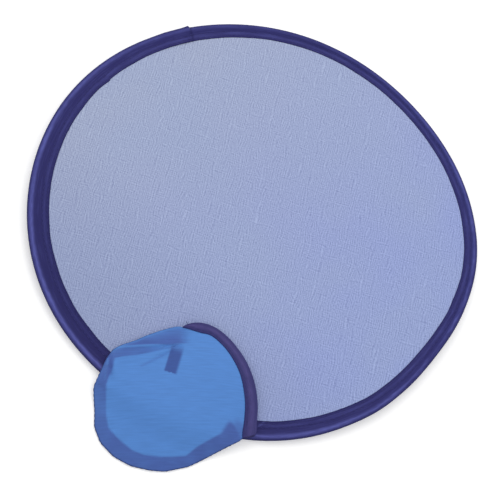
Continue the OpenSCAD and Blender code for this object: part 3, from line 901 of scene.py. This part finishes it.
# Creases: from, to, width, height, and 1 for a fold that lies over on its side or 0 for a plain ridge
gather = (-6.4, 24.2)  # where several of them start
creases = [
    (gather, (-35.4, 36.3), 1.1, 0.7, 1), (gather, (-36.0, 31.6), 1.6, -0.4, 0),
    ((-12.0, 23.6), (-36.0, 27.0), 1.3, 0.45, 0), ((-9.0, 23.2), (-32.5, 21.4), 0.9, -0.5, 0),
    ((-5.4, 24.4), (-2.0, 33.0), 1.8, -0.45, 0), (gather, (-2.0, 10.0), 2.2, 0.3, 0),
    ((-42.5, 34.5), (-49.2, 21.5), 1.2, -0.5, 1), ((-45.0, 32.0), (-52.0, 21.0), 0.8, 0.5, 1),
    ((-55.5, 24.0), (-53.0, 15.0), 0.9, -0.4, 1), ((-60.5, 9.0), (-55.0, 2.0), 1.4, 0.3, 0),
    ((-64.0, -4.0), (-56.0, -4.0), 1.4, 0.3, 0), ((-56.0, -22.0), (-50.0, -15.0), 1.6, 0.3, 0),
    ((-42.0, -31.0), (-39.0, -24.0), 1.4, 0.25, 0),
]
# Where folded cloth shows darker, from its plies and painted shade, or lighter from a painted highlight on a
# ridge: from, to, width at each end, strength
foldShades = [
    ((-12.0, 22.8), (-20.7, 22.2), 0.6, 0.7, 0.3), ((-20.7, 22.2), (-32.7, 21.5), 0.7, 0.6, 0.35),
    ((-12.8, 25.9), (-8.5, 24.6), 0.35, 0.35, 0.5), ((-15.0, 24.4), (-9.0, 23.6), 0.5, 0.4, 0.3),
    ((-43.0, 35.0), (-47.6, 23.5), 0.6, 0.9, 0.35), ((-44.8, 33.0), (-51.5, 22.5), 0.5, 0.6, -0.5),
    ((-47.0, 29.6), (-52.0, 20.7), 0.4, 0.6, 0.5),
]


def alongLine(u, v, start, end):  # share of the way along a line, and distance to its side
    length = math.hypot(end[0] - start[0], end[1] - start[1])
    along = ((u - start[0]) * (end[0] - start[0]) + (v - start[1]) * (end[1] - start[1])) / length
    side = ((v - start[1]) * (end[0] - start[0]) - (u - start[0]) * (end[1] - start[1])) / length
    return along / length, side


def creaseHeight(u, v):
    total = 0.0
    for start, end, width, height, leaning in creases:
        share, side = alongLine(u, v, start, end)
        if not -0.15 < share < 1.15:
            continue
        fade = smooth((share + 0.15) / 0.25) * smooth((1.15 - share) / 0.5)
        wide = width * (0.6 + 0.7 * max(0.0, share))
        ridge = bump(side, wide)
        if leaning:
            ridge -= 0.7 * bump(side - 1.6 * wide, wide * 1.2)
        total += height * fade * ridge
    return total


# The seam's turned-in cloth, which shows through: it starts at one corner of the mouth, ends in a slant
# before the other, where a fainter stretch goes on, and is folded over a ridge at the rear
hemShade = {
    "from": 51, "straightTo": 67, "soft": 1.1, "endAt": 306, "endSlant": 0.9, "endFrom": 32,
    "faintTo": 316, "faintFrom": 29, "faint": 0.62, "rearTo": 126, "noRidge": 60,
}


def hemBehind(t, r):  # 1 over the turned-in cloth, and less over the fainter stretch
    turnedIn = roundedRadius(hemCorners, t if t > 180 else max(t, hemShade["straightTo"]), pouch["hemSpread"])
    soft = hemShade["soft"] + 2 * smooth((t - 285) / 15)
    endAt = hemShade["endAt"] - hemShade["endSlant"] * max(0.0, r - hemShade["endFrom"])
    faint = smooth((hemShade["faintTo"] - t) / 9) * smooth((r - hemShade["faintFrom"]) / 4)
    reach = max(smooth((endAt - t) * 0.16 + 0.5), hemShade["faint"] * faint)
    return smooth((r - turnedIn) / soft + 0.5) * reach * smooth((t - hemShade["from"]) / 15)


def rearTone(t, r):  # the cloth is darker over the ridge than under it, as plies and painted fold shade, with a painted highlight along the ridge, and pale along the seam
    over = r - (openRadius(ridgeLine, t) if t < ridgeLine[-1][0] else hemShade["noRidge"])
    under = mix(0.35, 0.8, smooth((t - 82) / 28)) * mix(1.0, 0.6, smooth(over / 2.5 + 1.0))
    tone = mix(under, 1.0 - 0.4 * smooth((over - 1.5) / 7), smooth(over / 0.8 + 0.2))
    fringe = bump(max(0.0, seamRadius(t) - r), 1.1)
    return tone * (1 - 0.75 * fringe) - 0.45 * bump(over + 0.5, 0.55)


def foldTone(u, v):
    total = 0.0
    for start, end, near, far, strength in foldShades:
        share, side = alongLine(u, v, start, end)
        fade = smooth(share / 0.2 + 0.7) * smooth((1.05 - share) / 0.15)
        total += strength * bump(side, mix(near, far, clamp(share))) * fade
    return total


def pliesAndFoldShade(t, r):  # 1 where the turned-in cloth lies behind, changed by painted fold shade and ridge highlights
    u, v = rayUv(t, r)
    tone = mix(1 - 0.2 * bump(t - 158, 30), rearTone(t, r), smooth((hemShade["rearTo"] - t) / 10))
    return clamp(hemBehind(t, r) * tone * (1 + 0.2 * roughly(u, v, 7, 8.0)) + foldTone(u, v))


def puckerHeight(t, r):  # the seam gathers the cloth a little all round
    fromSeam = seamRadius(t) - r
    wave = math.sin(math.radians(t) * pouch["puckers"] + 1.7 * roughly(t, 0, 25, 3.0))
    return pouch["pucker"] * wave * math.exp(-max(0.0, fromSeam) / 6) * (not inMouth(t))


def panelHeight(u, v, front):
    x, y = pouchXy(u, v)
    height = lieHeight(x, y) + pouch["cloth"] / 2
    if front:
        height += pouch["cloth"] + gapAt(u, v)
    return height


def shapedHeight(t, r, front):
    u, v = rayUv(t, r)
    height = panelHeight(u, v, front) + 0.4 * puckerHeight(t, r) * (1 if front else 0.4)
    if front:
        rolled = 0.3 * bump(seamRadius(t) - r, 0.8) * (not inMouth(t))
        height += creaseHeight(u, v) + pouch["ripple"] * roughly(u, v, 9, 6.0) - rolled
    return height


# The middle of the cloth, which is straight across inside the mouth's binding
def panelPoint(t, r, front, down=0.0):
    inside, outside = openRadius(mouthInner, aroundZero(t)), seamRadius(t)
    if inMouth(t) and r > inside:
        share = min(1.3, (r - inside) / max(0.4, outside - inside))
        z = mix(shapedHeight(t, inside, front), shapedHeight(t, outside, front), share)
    else:
        z = shapedHeight(t, r, front)
    x, y = pouchXy(*rayUv(t, r))
    return Vector((x, y, max(pouch["cloth"] / 2, z - down)))


def bendAtMouth(piece):
    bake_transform(piece)


def makePanel(name, front, nodes):
    rings, hem = pouch["rings"], pouch["hemRings"]
    bm = spun([(i / rings, 0) for i in range(rings + hem + 1)], pouch["steps"])
    pliesAndShade = bm.verts.layers.float.new("pliesAndShade")
    tail = bm.verts.layers.float.new("tail")
    flat = {}
    ply = pouch["cloth"] + pouch["slack"]
    for vert in bm.verts:
        share = math.hypot(vert.co.x, vert.co.y)
        t = bearing(vert.co.x, vert.co.y)
        edge, inner = seamRadius(t), hemRadius(t)
        turned = max(0.0, share - 1) * rings / hem
        r = share * edge if turned < 1e-6 else mix(edge, inner, turned)
        down = ply * smooth(turned * 6) * smooth((edge - inner) / 1.2) * (1 if front else -1)
        vert.co = panelPoint(t, r, front, down)
        # the plies behind, with painted fold shade and ridge highlight
        vert[pliesAndShade] = pliesAndFoldShade(t, r)
        u, v = rayUv(t, r)
        vert[tail] = tailShade(u, v)
        flat[vert] = (u, v) if turned < 1e-6 else rayUv(t, edge + turned * (edge - inner))
    setUv(bm, lambda vert: flat[vert])
    bmesh.ops.remove_doubles(bm, verts=bm.verts, dist=0.02)
    piece = finishPiece(name, bm, pouchCloth)
    thicken(piece, pouch["cloth"])
    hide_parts(*nodes)
    return piece


tapeEnd = {
    "from": (-4.6, 29.1), "bearing": 227.2, "length": 23.4, "width": 6.3, "gap": 0.4, "soft": (1.9, 0.8),
}


def tailShade(u, v):  # the tape's end shows through where the cloth lies close to it
    du, dv = u - tapeEnd["from"][0], v - tapeEnd["from"][1]
    along = du * cosd(tapeEnd["bearing"]) + dv * sind(tapeEnd["bearing"])
    side = dv * cosd(tapeEnd["bearing"]) - du * sind(tapeEnd["bearing"])
    soft = tapeEnd["soft"][0 if side > 0 else 1]
    inside = smooth((tapeEnd["width"] / 2 - abs(side)) / soft + 0.5)
    ragged = 0.7 * roughly(side, 0, 1.1, 12.0)
    return inside * smooth((tapeEnd["length"] + ragged - along) / 0.9 + 0.5) * smooth((along - 5) / 7)


def mouthPoint(t, out, up, front):
    inner, outer = mouthRuling(t)
    u, v = outer + (outer - inner).normalized() * out
    return panelPoint(*uvRay(u, v), front) + Vector((0, 0, up))


def mouthSection():
    flap = [("flap", t) for t in (0.0, 0.06, 0.13, 0.22, 0.32, 0.42, 0.52, 0.62, 0.72, 0.82, 0.92)]
    edge = [("edge", 90 - 180 * i / 8) for i in range(9)]
    outside = flap + edge + [("under", t) for kind, t in reversed(flap)]
    rows = [(kind, t, 0.0) for kind, t in outside]
    rows += [(kind, t, mouth["tape"]) for kind, t in reversed(outside)]
    return rows + rows[:1]


def mouthTapePoint(t, kind, across, inset, front):
    width = mouthWidth(t)
    half = mouthHalf - inset
    if kind == "edge":
        out = half * 0.9 * (cosd(across) - 1) - inset * 0.1
        return mouthPoint(t, out, half * sind(across), front)
    fromEdge = (width - mouthHalf) * across
    if inset == 0:
        wave = stitchWave(mouth["waveRadius"] * math.radians(t) / mouth["stitchPitch"])
        half -= mouth["pucker"] * bump(fromEdge - mouth["seamInset"], 0.5) * (1.15 - wave)
        half += mouth["ridge"] * bump(fromEdge - 0.55 * width, 0.22 * width)
        half += 0.05 * roughly(t * 1.5, fromEdge, 2.5, 3.0) - 0.1 * bump(fromEdge, 0.25)
    return mouthPoint(t, fromEdge - width, half if kind == "flap" else -half, front)


def paintMouth(t, kind, across):
    # on the rolled edge, painted shade on its outer side
    if kind == "edge":
        return {"light": 0.1, "dark": 0.5 * bump(across, 60)}
    width = mouthWidth(t)
    fromEdge = (width - mouthHalf) * across
    # painted highlight along the flap's ridge, painted shade at the inner edge, and darker along the seam
    ridge = bump(fromEdge - 0.55 * width, 0.2 * width)
    dark = min(1.0, 0.9 * bump(fromEdge, 0.5) + 0.3 * bump(fromEdge - mouth["seamInset"], 0.4))
    return {"light": 0.6 * ridge * (0.7 + 0.5 * roughly(t, 2, 8.0, 5.0)), "dark": dark}


def makeMouthBinding(name, front, node):
    length = math.radians(mouth["to"] - mouth["from"]) * mouth["edgeRadius"]
    bm = sweptTape(mouth["steps"], mouthSection(), lambda s: mix(mouth["from"], mouth["to"], s), length,
                   0, lambda t, *row: mouthTapePoint(t, *row, front), paintMouth)
    piece = finishPiece(name, closeEnds(bm), pouchTape)
    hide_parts(node)
    return piece


def makeMouthStitches(name, front, node):
    random.seed(5)
    count = int(math.radians(mouth["to"] - mouth["from"]) * mouth["stitchRadius"] / mouth["stitchPitch"])
    stitches = []
    for i in range(count):
        t = mix(mouth["from"], mouth["to"], (i + 0.5) / count)
        if mouthWidth(t) < 2 * mouth["seamInset"]:
            continue
        stray = random.uniform(-mouth["stitchStray"], mouth["stitchStray"])
        out = -mouthWidth(t) + mouth["seamInset"] + stray
        for side in (1, -1):
            lift = side * (mouthHalf + 0.01)
            before, middle, after = [mouthPoint(t + turn, out, lift, front) for turn in (-1, 0, 1)]
            up = Vector((0, 0, side))
            stitches.append((middle, after - before, up, mouth["stitchLength"], mouth["stitchThickness"]))
    piece = finishPiece(name, joinStitches(stitches), pouchThread)
    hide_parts(node)
    return piece


sideStitch = {"pitch": 2.6, "length": 2.0, "thickness": 0.35, "out": 0.1, "fromMouth": 3}


def makeSideStitches():
    stitches = []
    t = mouth["to"] + sideStitch["fromMouth"]
    while t < 360 + mouthEdge[0][0] - sideStitch["fromMouth"]:
        r = seamRadius(t)
        height = sum(panelPoint(t, r - sideStitch["out"], front).z for front in (False, True)) / 2
        here, ahead = [pouchXy(*rayUv(at, seamRadius(at) + sideStitch["out"])) for at in (t, t + 1)]
        stitches.append((Vector((*here, height)), Vector((*(ahead - here), 0)), Vector((0, 0, 1)),
                         sideStitch["length"], sideStitch["thickness"]))
        t += math.degrees(sideStitch["pitch"] / (r + sideStitch["out"]))
    piece = finishPiece("side_stitches", joinStitches(stitches), pouchThread)
    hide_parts("side_seam")
    return piece


def makeTapeEnd():
    down = pouch["cloth"] * 1.5 + pouch["slack"] + tapeEnd["gap"] + mouth["tape"] / 2

    def place(s, t):
        along, side = tapeEnd["length"] * s, tapeEnd["width"] * (t - 0.5)
        u = tapeEnd["from"][0] + along * cosd(tapeEnd["bearing"]) - side * sind(tapeEnd["bearing"])
        v = tapeEnd["from"][1] + along * sind(tapeEnd["bearing"]) + side * cosd(tapeEnd["bearing"])
        x, y = pouchXy(u, v)
        return Vector((x, y, panelHeight(u, v, True) + min(0.0, creaseHeight(u, v)) - down))
    bm = bentGrid(44, 12, place, lambda s, t: (tapeEnd["length"] * s, tapeEnd["width"] * t),
                  lambda s, t: {"light": 0.05, "dark": 0.6 * bump(min(t, 1 - t), 0.1)})
    piece = finishPiece("tape_end", bm, pouchTape)
    thicken(piece, mouth["tape"])
    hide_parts("tape_tail")
    return piece


threadEnd = {"fromMouth": 3, "length": 1.6, "rise": 0.4, "lift": 0.2, "radius": 0.2, "curl": 0.25}


def makeThreadEnd():  # it rises from the mouth's corner, curls a little and ends in a small knot
    root = mouth["to"] - threadEnd["fromMouth"]

    def place(s, t):
        lift = mouthHalf + threadEnd["lift"] + threadEnd["rise"] * s * s
        middle = mouthPoint(root, -0.5 + threadEnd["length"] * s, lift, True)
        middle += threadEnd["curl"] * Vector((math.sin(5 * s), math.cos(4 * s), 0))
        radius = threadEnd["radius"] * (1 + 1.4 * bump(s - 0.8, 0.16)) * (1 - 0.7 * smooth((s - 0.93) / 0.07))
        across = pouchV * cosd(360 * t)
        return middle + radius * Vector((*across, sind(360 * t)))
    bm = bentGrid(24, 8, place, lambda s, t: (threadEnd["length"] * s, t))
    piece = finishPiece("thread_end", closeEnds(bm), pouchThread)
    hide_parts("thread_tail")
    return piece


bendAtMouth(makePanel("pouch_front", True, ["pouch_front_panel", "front_panel_lip"]))
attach(makePanel("pouch_back", False, ["pouch_back_panel"]), "pouch")
print("pouch panels made")
bendAtMouth(makeMouthBinding("front_binding", True, "front_mouth_binding"))
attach(makeMouthBinding("back_binding", False, "back_mouth_binding"), "pouch")
bendAtMouth(makeMouthStitches("front_stitches", True, "front_mouth_seam"))
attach(makeMouthStitches("back_stitches", False, "back_mouth_seam"), "pouch")
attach(makeSideStitches(), "pouch")
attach(makeTapeEnd(), "pouch")
bendAtMouth(makeThreadEnd())
print("pouch trim made")
